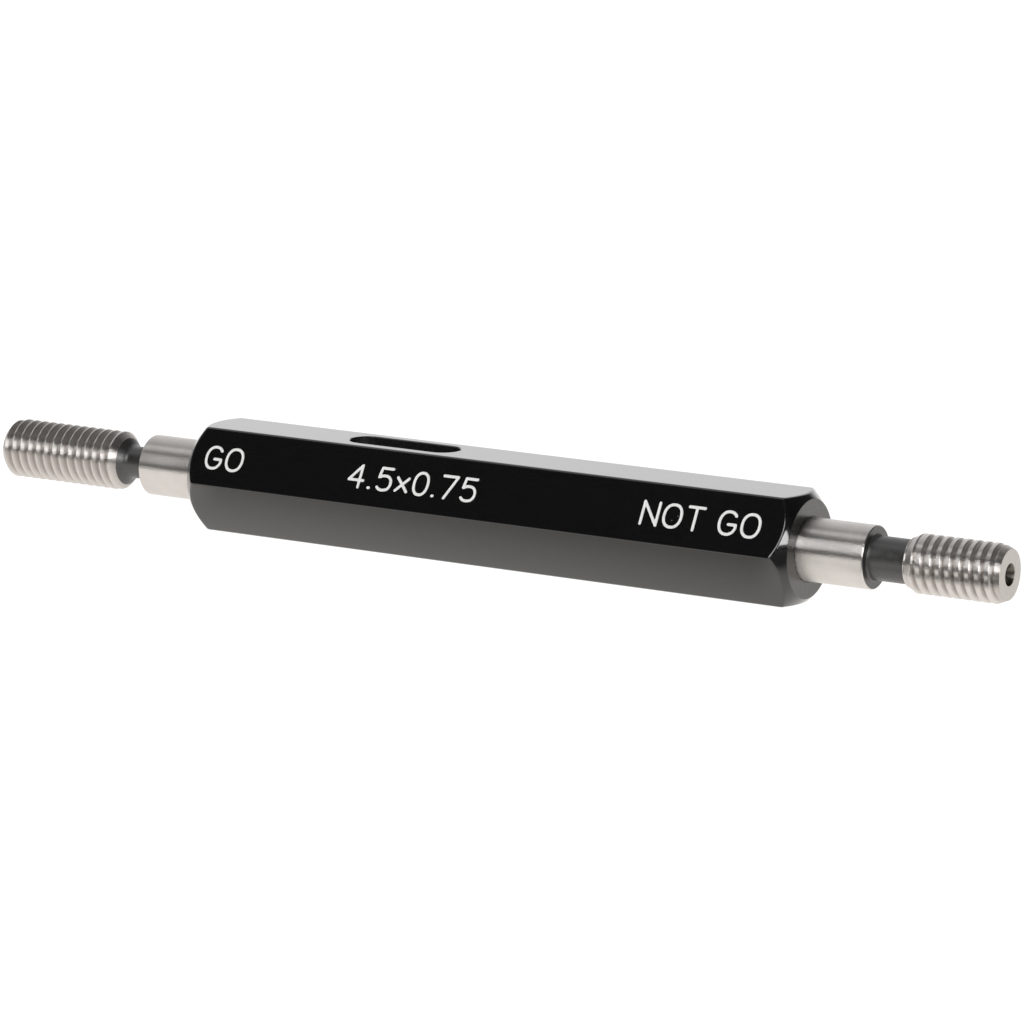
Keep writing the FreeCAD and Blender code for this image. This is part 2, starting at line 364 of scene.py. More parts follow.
# %% [markdown]
# ## The thread, as a rule
#
# A screw thread is the best case for Geometry Nodes, because one rule gives the whole surface.
# Lay a flat grid down, let one side of it be the angle round the axis and the other the distance
# along it, and shear it so that each row climbs one pitch in a turn. Then every row follows the
# helix, and crests and roots come out as clean lines. The radius follows from the distance to
# the nearest groove's middle. Rows that would stick out past the ends are clamped there and
# merged into one ring, and the end chamfers are cones that cut the radius down.

# %% Geometry Nodes tree for a thread
AROUND = 144
ROWS_PER_PITCH = 30


def make_thread_tree():
    """Node group: a sheared grid rolled into a right-hand thread, in metres."""
    group = bpy.data.node_groups.new("right_hand_thread", "GeometryNodeTree")
    face = group.interface
    face.new_socket("Geometry", in_out="OUTPUT", socket_type="NodeSocketGeometry")
    for name, number in (
        ("Start", 0.0), ("Length", 10.0), ("Pitch", 0.75), ("Groove at", 0.0),
        ("Crest radius", 2.25), ("Root radius", 1.8), ("Root flat", 0.1), ("Flank slope", 1.73),
        ("Crest rounding", 0.02), ("Start radius", 1.8), ("Start bevel", 0.45),
        ("End radius", 1.8), ("End bevel", 0.45), ("Runs out at", 0.0), ("Full depth at", 1.0),
        ("Axis height", 4.0),
    ):
        socket = face.new_socket(name, in_out="INPUT", socket_type="NodeSocketFloat")
        socket.default_value = number
    for name, number in (("Rows", 400), ("Around", AROUND)):
        socket = face.new_socket(name, in_out="INPUT", socket_type="NodeSocketInt")
        socket.default_value = number
    face.new_socket("Steel", in_out="INPUT", socket_type="NodeSocketMaterial")

    tree = NodeTree(group)
    given = tree.add("NodeGroupInput").outputs
    pitch, crest, root = given["Pitch"], given["Crest radius"], given["Root radius"]

    # A grid one unit long and one turn wide; its rows are spread over the length plus a turn.
    grid = tree.add("GeometryNodeMeshGrid", {"Size X": 1.0, "Size Y": 1.0})
    tree.feed(grid.inputs["Vertices X"], given["Rows"])
    tree.feed(grid.inputs["Vertices Y"], tree.sum("ADD", given["Around"], 1.0))
    along, turn, _ = tree.split(tree.add("GeometryNodeInputPosition").outputs[0])
    turn = tree.sum("ADD", turn, 0.5)
    pitches = tree.sum("DIVIDE", tree.sum("SUBTRACT", given["Rows"], 1.0), ROWS_PER_PITCH)
    rows_span = tree.sum("MULTIPLY", pitches, pitch)
    along = tree.sum("MULTIPLY", tree.sum("ADD", along, 0.5), rows_span)
    climbed = tree.sum("MULTIPLY", turn, pitch)
    place = tree.sum("SUBTRACT", tree.sum("ADD", along, climbed), pitch)
    place = tree.sum("MAXIMUM", tree.sum("MINIMUM", place, given["Length"]), 0.0)

    # Distance to the middle of the nearest groove, and how deep that groove is here.
    groove_here = tree.sum("ADD", tree.sum("SUBTRACT", given["Groove at"], given["Start"]), climbed)
    offset = tree.sum("SUBTRACT", place, groove_here)
    nearest = tree.sum("ROUND", tree.sum("DIVIDE", offset, pitch))
    nearest = tree.sum("MULTIPLY", nearest, pitch)
    away = tree.sum("ABSOLUTE", tree.sum("SUBTRACT", offset, nearest))
    middle = tree.sum("ADD", tree.sum("ADD", nearest, groove_here), given["Start"])
    depth = tree.ramp(middle, given["Runs out at"], given["Full depth at"], smooth=True)

    # Flank, root and crest; then the cones at both ends.
    half_flat = tree.sum("MULTIPLY", given["Root flat"], 0.5)
    flank = tree.sum("MULTIPLY", tree.sum("SUBTRACT", away, half_flat), given["Flank slope"])
    floor = tree.sum("ADD", tree.sum("MULTIPLY", tree.sum("SUBTRACT", root, crest), depth), crest)
    cut = tree.add(
        "ShaderNodeMath", (floor, tree.sum("ADD", floor, flank), given["Crest rounding"]),
        operation="SMOOTH_MAX",
    ).outputs[0]
    radius = tree.add(
        "ShaderNodeMath", (cut, crest, given["Crest rounding"]), operation="SMOOTH_MIN"
    ).outputs[0]
    for end_radius, bevel, run in (
        (given["Start radius"], given["Start bevel"], place),
        (given["End radius"], given["End bevel"], tree.sum("SUBTRACT", given["Length"], place)),
    ):
        rise = tree.sum("DIVIDE", tree.sum("SUBTRACT", crest, end_radius), bevel)
        cone = tree.sum("ADD", end_radius, tree.sum("MULTIPLY", run, rise))
        radius = tree.sum("MINIMUM", radius, cone)

    angle = tree.sum("MULTIPLY", turn, 2 * math.pi)
    height = tree.sum("MULTIPLY", radius, tree.sum("SINE", angle))
    spot = tree.vector(
        tree.sum("ADD", place, given["Start"]),
        tree.sum("MULTIPLY", radius, tree.sum("COSINE", angle)),
        tree.sum("ADD", height, given["Axis height"]),
    )
    # How deep each point lies in the groove, from 0 to 1, for the steel's painted shade and
    # roughness.
    below = tree.sum("SUBTRACT", crest, radius)
    sunk = tree.sum("DIVIDE", below, tree.sum("SUBTRACT", crest, root))
    marked = tree.add("GeometryNodeStoreNamedAttribute", data_type="FLOAT", domain="POINT")
    tree.feed(marked.inputs["Geometry"], grid.outputs["Mesh"])
    marked.inputs["Name"].default_value = "groove"
    tree.feed(marked.inputs["Value"], tree.ramp(sunk, 0.1, 1.0))
    rolled = tree.add("GeometryNodeSetPosition")
    tree.feed(rolled.inputs["Geometry"], marked.outputs[0])
    tree.feed(rolled.inputs["Position"], spot)
    merged = tree.add("GeometryNodeMergeByDistance")
    tree.feed(merged.inputs["Geometry"], rolled.outputs[0])
    merged.inputs["Distance"].default_value = 0.0001
    real = tree.add("GeometryNodeRealizeInstances", (merged.outputs[0],))
    steel = tree.add("GeometryNodeSetMaterial")
    tree.feed(steel.inputs["Geometry"], real.outputs[0])
    tree.feed(steel.inputs["Material"], given["Steel"])
    out = tree.add("NodeGroupOutput")
    tree.feed(out.inputs["Geometry"], steel.outputs[0])
    return group


THREAD_TREE = make_thread_tree()
print("thread tree nodes:", len(THREAD_TREE.nodes))


# %% A thread's plain mesh
def thread_mesh(name, **sizes):
    """Runs the thread tree once with these sizes and keeps the plain mesh, in millimetres."""
    carrier = bpy.data.objects.new(name, bpy.data.meshes.new(name))
    bpy.context.scene.collection.objects.link(carrier)
    modifier = carrier.modifiers.new("thread", "NODES")
    modifier.node_group = THREAD_TREE
    sizes["Rows"] = math.ceil((sizes["Length"] / sizes["Pitch"] + 1) * ROWS_PER_PITCH) + 1
    sizes["Around"] = AROUND
    sizes["Steel"] = GROUND_STEEL
    for item in THREAD_TREE.interface.items_tree:
        if item.in_out == "INPUT" and item.name in sizes:
            modifier[item.identifier] = sizes[item.name]
    ready = carrier.evaluated_get(bpy.context.evaluated_depsgraph_get())
    mesh = bpy.data.meshes.new_from_object(ready)
    bpy.data.objects.remove(carrier)
    print(name, "thread faces:", len(mesh.polygons))
    return mesh


# %% [markdown]
# ## The members
#
# Each member is one piece of steel: thread, relief neck, plain shank, and the taper that hides
# in the handle. The thread comes from the tree above. The rest is a line turned round the axis,
# with its rings cut at the same angles as the thread's, so that both weld into one closed skin.

# %% Turn a line round the axis
STEEL, OXIDE, FACED = 0, 1, 2


def turned(skin, line, finish, around=AROUND):
    """Adds the surface that a line of (x, radius) points sweeps round the axis."""
    rings = []
    for x, radius in line:
        if radius < 1e-6:
            rings.append([skin.verts.new((x, 0.0, AXIS_Z))])
            continue
        rings.append([
            skin.verts.new((
                x,
                radius * math.cos(2 * math.pi * i / around),
                AXIS_Z + radius * math.sin(2 * math.pi * i / around),
            ))
            for i in range(around)
        ])
    for first, second in zip(rings, rings[1:]):
        for i in range(around):
            j = (i + 1) % around
            if len(first) == 1 and len(second) == 1:
                break
            if len(first) == 1:
                corners = (first[0], second[i], second[j])
            elif len(second) == 1:
                corners = (first[i], first[j], second[0])
            else:
                corners = (first[i], first[j], second[j], second[i])
            skin.faces.new(corners).material_index = finish


def thread_skin(mesh):
    """Starts a member's skin with its thread, all of it ground steel."""
    skin = bmesh.new()
    skin.from_mesh(mesh)
    for face in skin.faces:
        face.material_index = STEEL
    return skin


def finished_piece(name, skin, materials, sharp_degrees=32.0):
    """Closes a skin drawn in millimetres and puts it into the scene in metres."""
    bmesh.ops.remove_doubles(skin, verts=skin.verts, dist=0.0002)
    bmesh.ops.dissolve_degenerate(skin, edges=skin.edges, dist=0.0002)
    bmesh.ops.recalc_face_normals(skin, faces=skin.faces)
    open_edges = sum(1 for edge in skin.edges if not edge.is_manifold)
    mesh = bpy.data.meshes.new(name)
    skin.to_mesh(mesh)
    skin.free()
    mesh.transform(Matrix.Scale(MM, 4))
    for material in materials:
        mesh.materials.append(material)
    mesh.shade_smooth()
    mesh.set_sharp_from_angle(angle=math.radians(sharp_degrees))
    piece = bpy.data.objects.new(name, mesh)
    bpy.context.scene.collection.objects.link(piece)
    print(f"{name}: {len(mesh.polygons)} faces, {open_edges} open edges")
    return piece


# %% Sizes shared by both members
SEAT_RADIUS = 2.3
SEAT_DEPTH = 13.0
TAPER_PER_MM = 0.01
SHOULDER_BREAK = 0.07
PITCH = 0.75
FLANK_SLOPE = 1 / math.tan(math.radians(30))
PILOT_RADIUS, PILOT_DEPTH = 0.25, 1.9


def centre_hole(tip, inward, mouth_radius):
    """Line of a 60 degree centre hole with its small pilot, from the bottom to the mouth."""
    cone_depth = (mouth_radius - PILOT_RADIUS) * FLANK_SLOPE
    return [
        (tip + inward * PILOT_DEPTH, 0.0, 0),
        (tip + inward * PILOT_DEPTH, PILOT_RADIUS, 0),
        (tip + inward * cone_depth, PILOT_RADIUS, 0),
        (tip, mouth_radius, 0.03),
    ]


def taper_end(shoulder, inner, outward):
    """Line of the taper from the handle's mouth to the hidden inner end, closed at the axis."""
    depth = abs(inner - shoulder)
    small = SEAT_RADIUS - depth * TAPER_PER_MM
    bevel = 0.3
    return [
        (shoulder, SEAT_RADIUS, 0),
        (inner + outward * bevel, small + bevel * TAPER_PER_MM, 0.02),
        (inner, small - bevel, 0.02),
        (inner, 0.0, 0),
    ]


def shank_line(shoulder, mouth, inner, inward):
    """Line of the plain shank and its taper, from the neck's shoulder to the inner end."""
    return softened([
        (shoulder, SEAT_RADIUS - SHOULDER_BREAK, 0),
        (shoulder + inward * SHOULDER_BREAK, SEAT_RADIUS, 0.03),
        (shoulder + inward * 1.0, SEAT_RADIUS, 0),
        *taper_end(mouth, inner, -inward),
    ])


MEMBER_FINISHES = (GROUND_STEEL, BLACK_OXIDE, FACED_STEEL)

# %% The GO member
GO_THREAD, GO_NECK = 10.6, 2.45
GO_CREST, GO_ROOT, GO_TIP_RADIUS, GO_HOLE_RADIUS = 2.25, 1.835, 1.8, 0.8
GO_BACK_RADIUS, GO_NECK_RADIUS, GO_BEVEL = 1.8, 1.225, 0.45
GO_FIRST_GROOVE = 0.4245
go_back = GO_TIP + GO_THREAD
go_shoulder = go_back + GO_NECK

go_thread = thread_mesh(
    "go_thread",
    **{
        "Start": GO_TIP, "Length": GO_THREAD, "Pitch": PITCH,
        "Groove at": GO_TIP + GO_FIRST_GROOVE,
        "Crest radius": GO_CREST, "Root radius": GO_ROOT, "Root flat": 0.18,
        "Flank slope": FLANK_SLOPE, "Crest rounding": 0.02,
        "Start radius": GO_TIP_RADIUS, "Start bevel": GO_BEVEL,
        "End radius": GO_BACK_RADIUS, "End bevel": GO_BEVEL,
        "Runs out at": go_back - 0.35, "Full depth at": go_back - 0.8, "Axis height": AXIS_Z,
    },
)
skin = thread_skin(go_thread)
turned(
    skin,
    softened(centre_hole(GO_TIP, 1, GO_HOLE_RADIUS) + [(GO_TIP, GO_TIP_RADIUS, 0)]),
    FACED,
)
turned(
    skin,
    softened([
        (go_back, GO_BACK_RADIUS, 0),
        (go_back + 0.06, GO_BACK_RADIUS - 0.06, 0.05),
        (go_back + 0.5, GO_NECK_RADIUS, 0.8),
        (go_shoulder, GO_NECK_RADIUS, 0.45),
        (go_shoulder, SEAT_RADIUS - SHOULDER_BREAK, 0),
    ], steps=8),
    OXIDE,
)
turned(skin, shank_line(go_shoulder, HANDLE_LEFT, GO_INNER, 1), STEEL)
go_piece = finished_piece("go_gauging_member", skin, MEMBER_FINISHES)

# %% The NOT GO member
NOTGO_THREAD, NOTGO_NECK, NOTGO_COLLAR = 7.45, 2.85, 0.32
NOTGO_CREST, NOTGO_ROOT, NOTGO_TIP_RADIUS, NOTGO_HOLE_RADIUS = 2.135, 1.83, 1.83, 0.81
NOTGO_BACK_RADIUS, NOTGO_NECK_RADIUS, NOTGO_COLLAR_RADIUS = 1.72, 1.6, 1.9
NOTGO_LAST_GROOVE = 0.8475
notgo_back = NOTGO_TIP - NOTGO_THREAD
notgo_shoulder = notgo_back - NOTGO_NECK

notgo_thread = thread_mesh(
    "notgo_thread",
    **{
        "Start": notgo_back + NOTGO_COLLAR, "Length": NOTGO_THREAD - NOTGO_COLLAR,
        "Pitch": PITCH, "Groove at": NOTGO_TIP - NOTGO_LAST_GROOVE,
        "Crest radius": NOTGO_CREST, "Root radius": NOTGO_ROOT, "Root flat": 0.08,
        "Flank slope": FLANK_SLOPE, "Crest rounding": 0.012,
        "Start radius": NOTGO_COLLAR_RADIUS, "Start bevel": 0.42,
        "End radius": NOTGO_TIP_RADIUS, "End bevel": 0.7,
        "Runs out at": notgo_back + 0.7, "Full depth at": notgo_back + 1.1,
        "Axis height": AXIS_Z,
    },
)
skin = thread_skin(notgo_thread)
turned(
    skin,
    softened(centre_hole(NOTGO_TIP, -1, NOTGO_HOLE_RADIUS) + [(NOTGO_TIP, NOTGO_TIP_RADIUS, 0)]),
    FACED,
)
# A narrow collar with one fine groove lies behind the thread, where the tool was backed off.
turned(
    skin,
    softened([
        (notgo_back, NOTGO_BACK_RADIUS, 0), (notgo_back + 0.04, 1.80, 0.02),
        (notgo_back + 0.12, 1.80, 0.02), (notgo_back + 0.17, 1.75, 0.03),
        (notgo_back + 0.22, 1.84, 0.02),
        (notgo_back + NOTGO_COLLAR, NOTGO_COLLAR_RADIUS, 0),
    ]),
    STEEL,
)
turned(
    skin,
    softened([
        (notgo_back, NOTGO_BACK_RADIUS, 0),
        (notgo_back - 0.1, NOTGO_NECK_RADIUS, 0.05),
        (notgo_shoulder, NOTGO_NECK_RADIUS, 0.2),
        (notgo_shoulder, SEAT_RADIUS - SHOULDER_BREAK, 0),
    ]),
    OXIDE,
)
turned(skin, shank_line(notgo_shoulder, HANDLE_RIGHT, NOTGO_INNER, -1), STEEL)
notgo_piece = finished_piece("not_go_gauging_member", skin, MEMBER_FINISHES)

# %% [markdown]
# ## The handle's skin
#
# The handle is a piece of hexagon bar with both ends turned to a 45 degree cone. Where the cone
# meets a flat, the edge is a curve. Instead of cutting it, the skin is drawn directly: for each
# point round the hexagon one line runs from end to end, and it turns down onto the cone exactly
# where its own distance from the axis says. A few lines lie close beside each rounded edge to
# hold the flats flat, so that a glossy finish reflects cleanly.

# %% The hexagon's outline
EDGE_ROUND = 0.25
HOLD = 0.04


def hexagon_section(across_flats, rounding, arc_steps=8, flat_steps=20):
    """Points (y, z) round a hexagon with rounded corners and holding points by each arc."""
    apothem = across_flats / 2
    to_arc = (apothem - rounding) / math.cos(math.radians(30))
    half_flat = to_arc / 2
    points = []
    for corner in range(6):
        vertex = math.radians(60 * corner)
        centre = Vector((math.cos(vertex), math.sin(vertex))) * to_arc
        for i in range(arc_steps + 1):
            bearing = vertex + math.radians(-30 + 60 * i / arc_steps)
            points.append(centre + Vector((math.cos(bearing), math.sin(bearing))) * rounding)
        normal = vertex + math.radians(30)
        outward = Vector((math.cos(normal), math.sin(normal)))
        across = Vector((-outward.y, outward.x))
        holds = [-half_flat + HOLD] + [
            half_flat * (2 * i / flat_steps - 1) for i in range(1, flat_steps)
        ] + [half_flat - HOLD]
        points += [outward * apothem + across * s for s in holds]
    return points


SECTION = hexagon_section(ACROSS_FLATS, EDGE_ROUND)
print("points round the hexagon:", len(SECTION))

# %% The outer skin
END_FACE_RADIUS = 3.6
FACE_EDGE_ROUND = 0.08
CONE_EDGE_ROUND, CORNER_EXTRA_ROUND = 0.32, 0.3


def handle_outside():
    """The solid bar with its coned ends, in millimetres."""
    skin = bmesh.new()
    columns = []
    nearest, farthest = ACROSS_FLATS / 2, max(point.length for point in SECTION)
    for y, z in SECTION:
        out = math.hypot(y, z)
        cone = out - END_FACE_RADIUS
        cornering = (out - nearest) / (farthest - nearest)
        half = softened([
            (0.0, 0.0, 0),
            (0.0, END_FACE_RADIUS - 0.3, 0),
            (0.0, END_FACE_RADIUS, FACE_EDGE_ROUND),
            (cone, out, CONE_EDGE_ROUND + CORNER_EXTRA_ROUND * cornering**3),
            (cone + 0.4, out, 0),
            (HANDLE_LENGTH / 2, out, 0),
        ], steps=6)
        line = half[:-1] + [Vector((HANDLE_LENGTH - x, r)) for x, r in reversed(half[:-1])]
        columns.append([
            skin.verts.new((HANDLE_LEFT + x, y / out * r, AXIS_Z + z / out * r)) for x, r in line
        ])
    for first, second in zip(columns, columns[1:] + columns[:1]):
        for i in range(len(first) - 1):
            corners = (first[i], second[i], second[i + 1], first[i + 1])
            skin.faces.new(corners)
    bmesh.ops.remove_doubles(skin, verts=skin.verts, dist=0.0002)
    bmesh.ops.dissolve_degenerate(skin, edges=skin.edges, dist=0.0002)
    bmesh.ops.recalc_face_normals(skin, faces=skin.faces)
    return skin


# %% [markdown]
# ## What is cut out of the handle
#
# Four cuts are made with Boolean modifiers: a tapered seat in each end, the knock-out hole that
# joins the right-hand seat to the slot, and the drift slot. A machinist taps a wedge through the
# slot to push a worn member out, so it is nearer to the end that wears first.

# %% Solids for the cuts
SLOT_CENTRE = HANDLE_LEFT + 17.1
SLOT_LENGTH, SLOT_WIDTH, SLOT_BREAK = 9.2, 2.8, 0.07
MOUTH_BEVEL = 0.12
KNOCKOUT_RADIUS = 1.5


def cutting_solid(name, skin):
    """A closed solid to cut with, kept out of the scene's collections when it is done."""
    bmesh.ops.remove_doubles(skin, verts=skin.verts, dist=0.0001)
    bmesh.ops.recalc_face_normals(skin, faces=skin.faces)
    mesh = bpy.data.meshes.new(name)
    skin.to_mesh(mesh)
    skin.free()
    solid = bpy.data.objects.new(name, mesh)
    bpy.context.scene.collection.objects.link(solid)
    return solid


def seat_cutter(name, mouth, inward):
    bottom = mouth + inward * SEAT_DEPTH
    skin = bmesh.new()
    turned(skin, [
        (mouth - inward * 1.0, 0.0),
        (mouth - inward * 1.0, SEAT_RADIUS + MOUTH_BEVEL + 1.0),
        (mouth + inward * MOUTH_BEVEL, SEAT_RADIUS),
        (bottom, SEAT_RADIUS - SEAT_DEPTH * TAPER_PER_MM),
        (bottom, 0.0),
    ], 0, around=96)
    return cutting_solid(name, skin)


def knockout_cutter():
    skin = bmesh.new()
    start, end = SLOT_CENTRE + SLOT_LENGTH / 2 - 1.5, HANDLE_RIGHT - SEAT_DEPTH + 0.5
    line = [(start, 0.0), (start, KNOCKOUT_RADIUS), (end, KNOCKOUT_RADIUS), (end, 0.0)]
    turned(skin, line, 0, around=64)
    return cutting_solid("knockout_cut", skin)


def slot_cutter():
    """The slot's long round-ended outline, a little wider at both mouths to break the edge."""
    skin = bmesh.new()
    reach = SLOT_LENGTH / 2 - SLOT_WIDTH / 2
    top, low = AXIS_Z + ACROSS_FLATS / 2, AXIS_Z - ACROSS_FLATS / 2
    rings = []
    for z, wider in (
        (low - 0.5, 0.5 + SLOT_BREAK), (low + SLOT_BREAK, 0.0),
        (top - SLOT_BREAK, 0.0), (top + 0.5, 0.5 + SLOT_BREAK),
    ):
        ring = []
        for side in (1, -1):
            for i in range(25):
                bearing = math.radians(-90 + 7.5 * i) + (0 if side > 0 else math.pi)
                radius = SLOT_WIDTH / 2 + wider
                ring.append(skin.verts.new((
                    SLOT_CENTRE + side * reach + radius * math.cos(bearing),
                    radius * math.sin(bearing),
                    z,
                )))
        rings.append(ring)
    for first, second in zip(rings, rings[1:]):
        for i in range(len(first)):
            j = (i + 1) % len(first)
            skin.faces.new((first[i], first[j], second[j], second[i]))
    skin.faces.new(rings[0])
    skin.faces.new(rings[-1])
    return cutting_solid("slot_cut", skin)


# %% [markdown]
# ## The engraving
#
# The two words and the thread's size are cut with a round-ended cutter that follows one line
# per stroke, and the grooves are filled with white paint. Each character is a few strokes on a
# square one unit high. The strokes become round rods, a voxel remesh fuses the rods of all the
# characters into clean closed shells, and those are cut into the flat.

# %% Strokes of the characters
def arc(centre, size, start, stop, steps=22, squareness=2.25):
    """Points on a slightly squared ellipse; angles in degrees, counter-clockwise from the right."""
    points = []
    for i in range(steps + 1):
        angle = math.radians(start + (stop - start) * i / steps)
        c, s = math.cos(angle), math.sin(angle)
        points.append((
            centre[0] + size[0] * math.copysign(abs(c) ** (2 / squareness), c),
            centre[1] + size[1] * math.copysign(abs(s) ** (2 / squareness), s),
        ))
    return points


ROUND_O = [arc((0.405, 0.5), (0.405, 0.5), 0, 360, 40)]
STROKES = {
    "G": (0.77, [
        arc((0.40, 0.5), (0.40, 0.5), 40, 338) + [(0.77, 0.44)], [(0.77, 0.44), (0.43, 0.44)],
    ]),
    "O": (0.81, ROUND_O),
    "N": (0.73, [[(0.0, 0.0), (0.0, 1.0)], [(0.0, 1.0), (0.73, 0.0)], [(0.73, 0.0), (0.73, 1.0)]]),
    "T": (0.72, [[(0.0, 1.0), (0.72, 1.0)], [(0.36, 1.0), (0.36, 0.0)]]),
    "4": (0.72, [
        [(0.54, 0.0), (0.54, 1.0)], [(0.54, 1.0), (0.0, 0.32)], [(0.0, 0.32), (0.72, 0.32)],
    ]),
    "5": (0.70, [
        [(0.66, 1.0), (0.12, 1.0)], [(0.12, 1.0), (0.06, 0.58)],
        arc((0.34, 0.33), (0.35, 0.33), 132, -142),
    ]),
    "0": (0.68, [arc((0.34, 0.5), (0.34, 0.5), 0, 360, 40)]),
    "7": (0.70, [[(0.0, 1.0), (0.70, 1.0)], [(0.70, 1.0), (0.22, 0.0)]]),
    ".": (0.12, [[(0.04, 0.03), (0.08, 0.03)]]),
    "×": (0.56, [[(0.0, 0.06), (0.56, 0.66)], [(0.0, 0.66), (0.56, 0.06)]]),
    " ": (0.21, []),
}

# %% Words on the front flat
LETTER_HEIGHT, STROKE_RADIUS = 1.70, 0.114
LETTER_GAP = 0.50
FRONT_FLAT = 150.0
WORDS = (("GO", -22.22), ("4.5×0.75", -9.5), ("NOT GO", 15.18))
BASELINE = -0.895


def stroke_lines():
    """All the strokes as points (x, up) on the flat, in millimetres."""
    lines = []
    for word, start in WORDS:
        pen = start
        for character in word:
            width, strokes = STROKES[character]
            for stroke in strokes:
                lines.append([
                    (pen + LETTER_HEIGHT * x, BASELINE + LETTER_HEIGHT * up) for x, up in stroke
                ])
            pen += LETTER_HEIGHT * width + LETTER_GAP
        print(f"{word!r} runs from {start:.2f} to {pen - LETTER_GAP:.2f} mm")
    return lines


# %% Geometry Nodes tree for the cutter's path
def make_engraving_tree():
    """Node group: a round rod along every edge of the strokes and a ball at every point."""
    group = bpy.data.node_groups.new("round_engraving_strokes", "GeometryNodeTree")
    face = group.interface
    face.new_socket("Geometry", in_out="OUTPUT", socket_type="NodeSocketGeometry")
    face.new_socket("Strokes", in_out="INPUT", socket_type="NodeSocketGeometry")
    face.new_socket("Stroke radius", in_out="INPUT", socket_type="NodeSocketFloat")
    face.new_socket("Fill", in_out="INPUT", socket_type="NodeSocketMaterial")
    tree = NodeTree(group)
    given = tree.add("NodeGroupInput").outputs
    path = tree.add("GeometryNodeMeshToCurve", (given["Strokes"],)).outputs[0]
    ring = tree.add("GeometryNodeCurvePrimitiveCircle", {"Resolution": 24})
    tree.feed(ring.inputs["Radius"], given["Stroke radius"])
    rods = tree.add("GeometryNodeCurveToMesh", {"Curve": path, "Fill Caps": True})
    tree.feed(rods.inputs["Profile Curve"], ring.outputs[0])
    ball = tree.add("GeometryNodeMeshIcoSphere", {"Subdivisions": 4})
    tree.feed(ball.inputs["Radius"], given["Stroke radius"])
    balls = tree.add("GeometryNodeInstanceOnPoints", {"Points": given["Strokes"]})
    tree.feed(balls.inputs["Instance"], ball.outputs[0])
    joined = tree.add("GeometryNodeJoinGeometry")
    for part in (rods, balls):
        tree.tree.links.new(part.outputs[0], joined.inputs[0])
    real = tree.add("GeometryNodeRealizeInstances", (joined.outputs[0],))
    filled = tree.add("GeometryNodeSetMaterial")
    tree.feed(filled.inputs["Geometry"], real.outputs[0])
    tree.feed(filled.inputs["Material"], given["Fill"])
    out = tree.add("NodeGroupOutput")
    tree.feed(out.inputs["Geometry"], filled.outputs[0])
    return group


ENGRAVING_TREE = make_engraving_tree()

# %% Engraving solids
VOXEL = 0.03
GROOVE_DEPTH = 0.07


def flat_frame(bearing_degrees):
    """Matrix from (along, up, out) on one flat of the hexagon to the CAD frame, in millimetres."""
    bearing = math.radians(bearing_degrees)
    along = Vector((1.0, 0.0, 0.0))
    out = Vector((0.0, math.cos(bearing), math.sin(bearing)))
    up = out.cross(along)
    turn = Matrix((along, up, out)).transposed().to_4x4()
    return Matrix.Translation(Vector((0.0, 0.0, AXIS_Z)) + out * (ACROSS_FLATS / 2)) @ turn


def engraving_cutter():
    """Fused rods along every stroke, lying in the front flat."""
    points, edges = [], []
    for line in stroke_lines():
        edges += [(len(points) + i, len(points) + i + 1) for i in range(len(line) - 1)]
        points += [(x, up, 0.0) for x, up in line]
    mesh = bpy.data.meshes.new("engraving_strokes")
    mesh.from_pydata(points, edges, [])
    solid = bpy.data.objects.new("engraving_cut", mesh)
    bpy.context.scene.collection.objects.link(solid)
    rods = solid.modifiers.new("rods", "NODES")
    rods.node_group = ENGRAVING_TREE
    for item in ENGRAVING_TREE.interface.items_tree:
        if item.name == "Stroke radius":
            rods[item.identifier] = STROKE_RADIUS
        if item.name == "Fill":
            rods[item.identifier] = WHITE_FILL
    fuse = solid.modifiers.new("fuse", "REMESH")
    fuse.mode, fuse.voxel_size = "VOXEL", VOXEL
    ready = solid.evaluated_get(bpy.context.evaluated_depsgraph_get())
    fused = bpy.data.meshes.new_from_object(ready)
    solid.modifiers.clear()
    solid.data = fused
    flatten = Matrix.Diagonal((1.0, 1.0, GROOVE_DEPTH / STROKE_RADIUS, 1.0))
    fused.transform(flat_frame(FRONT_FLAT) @ flatten)
    fused.materials.clear()
    fused.materials.append(WHITE_FILL)
    print("engraving faces:", len(fused.polygons))
    return solid


# %% Cut the handle
def cut_handle():
    """The bar with its seats, knock-out hole, slot and engraving cut out, as a plain mesh."""
    outside = cutting_solid("handle_bar", handle_outside())
    outside.data.materials.append(HANDLE_BLACK)
    cutters = [
        seat_cutter("go_seat_cut", HANDLE_LEFT, 1),
        seat_cutter("notgo_seat_cut", HANDLE_RIGHT, -1),
        knockout_cutter(),
        slot_cutter(),
        engraving_cutter(),
    ]
    for cutter in cutters:
        modifier = outside.modifiers.new(cutter.name, "BOOLEAN")
        modifier.operation, modifier.solver, modifier.object = "DIFFERENCE", "MANIFOLD", cutter
        modifier.material_mode = "TRANSFER"
    ready = outside.evaluated_get(bpy.context.evaluated_depsgraph_get())
    mesh = bpy.data.meshes.new_from_object(ready)
    for spare in (outside, *cutters):
        bpy.data.objects.remove(spare)
    return mesh


handle_mesh = cut_handle()
skin = bmesh.new()
skin.from_mesh(handle_mesh)
handle_finishes = [m or HANDLE_BLACK for m in handle_mesh.materials] + [BLACK_FACED]
CLOSE = 0.02


def is_dull(face):
    """True for the flat end faces and for the slot's upright walls."""
    middle = face.calc_center_median()
    in_slot = (
        abs(middle.x - SLOT_CENTRE) < SLOT_LENGTH / 2 + CLOSE
        and abs(middle.y) < SLOT_WIDTH / 2 + CLOSE
    )
    return abs(face.normal.x) > 0.995 or (in_slot and abs(face.normal.z) < 0.5)


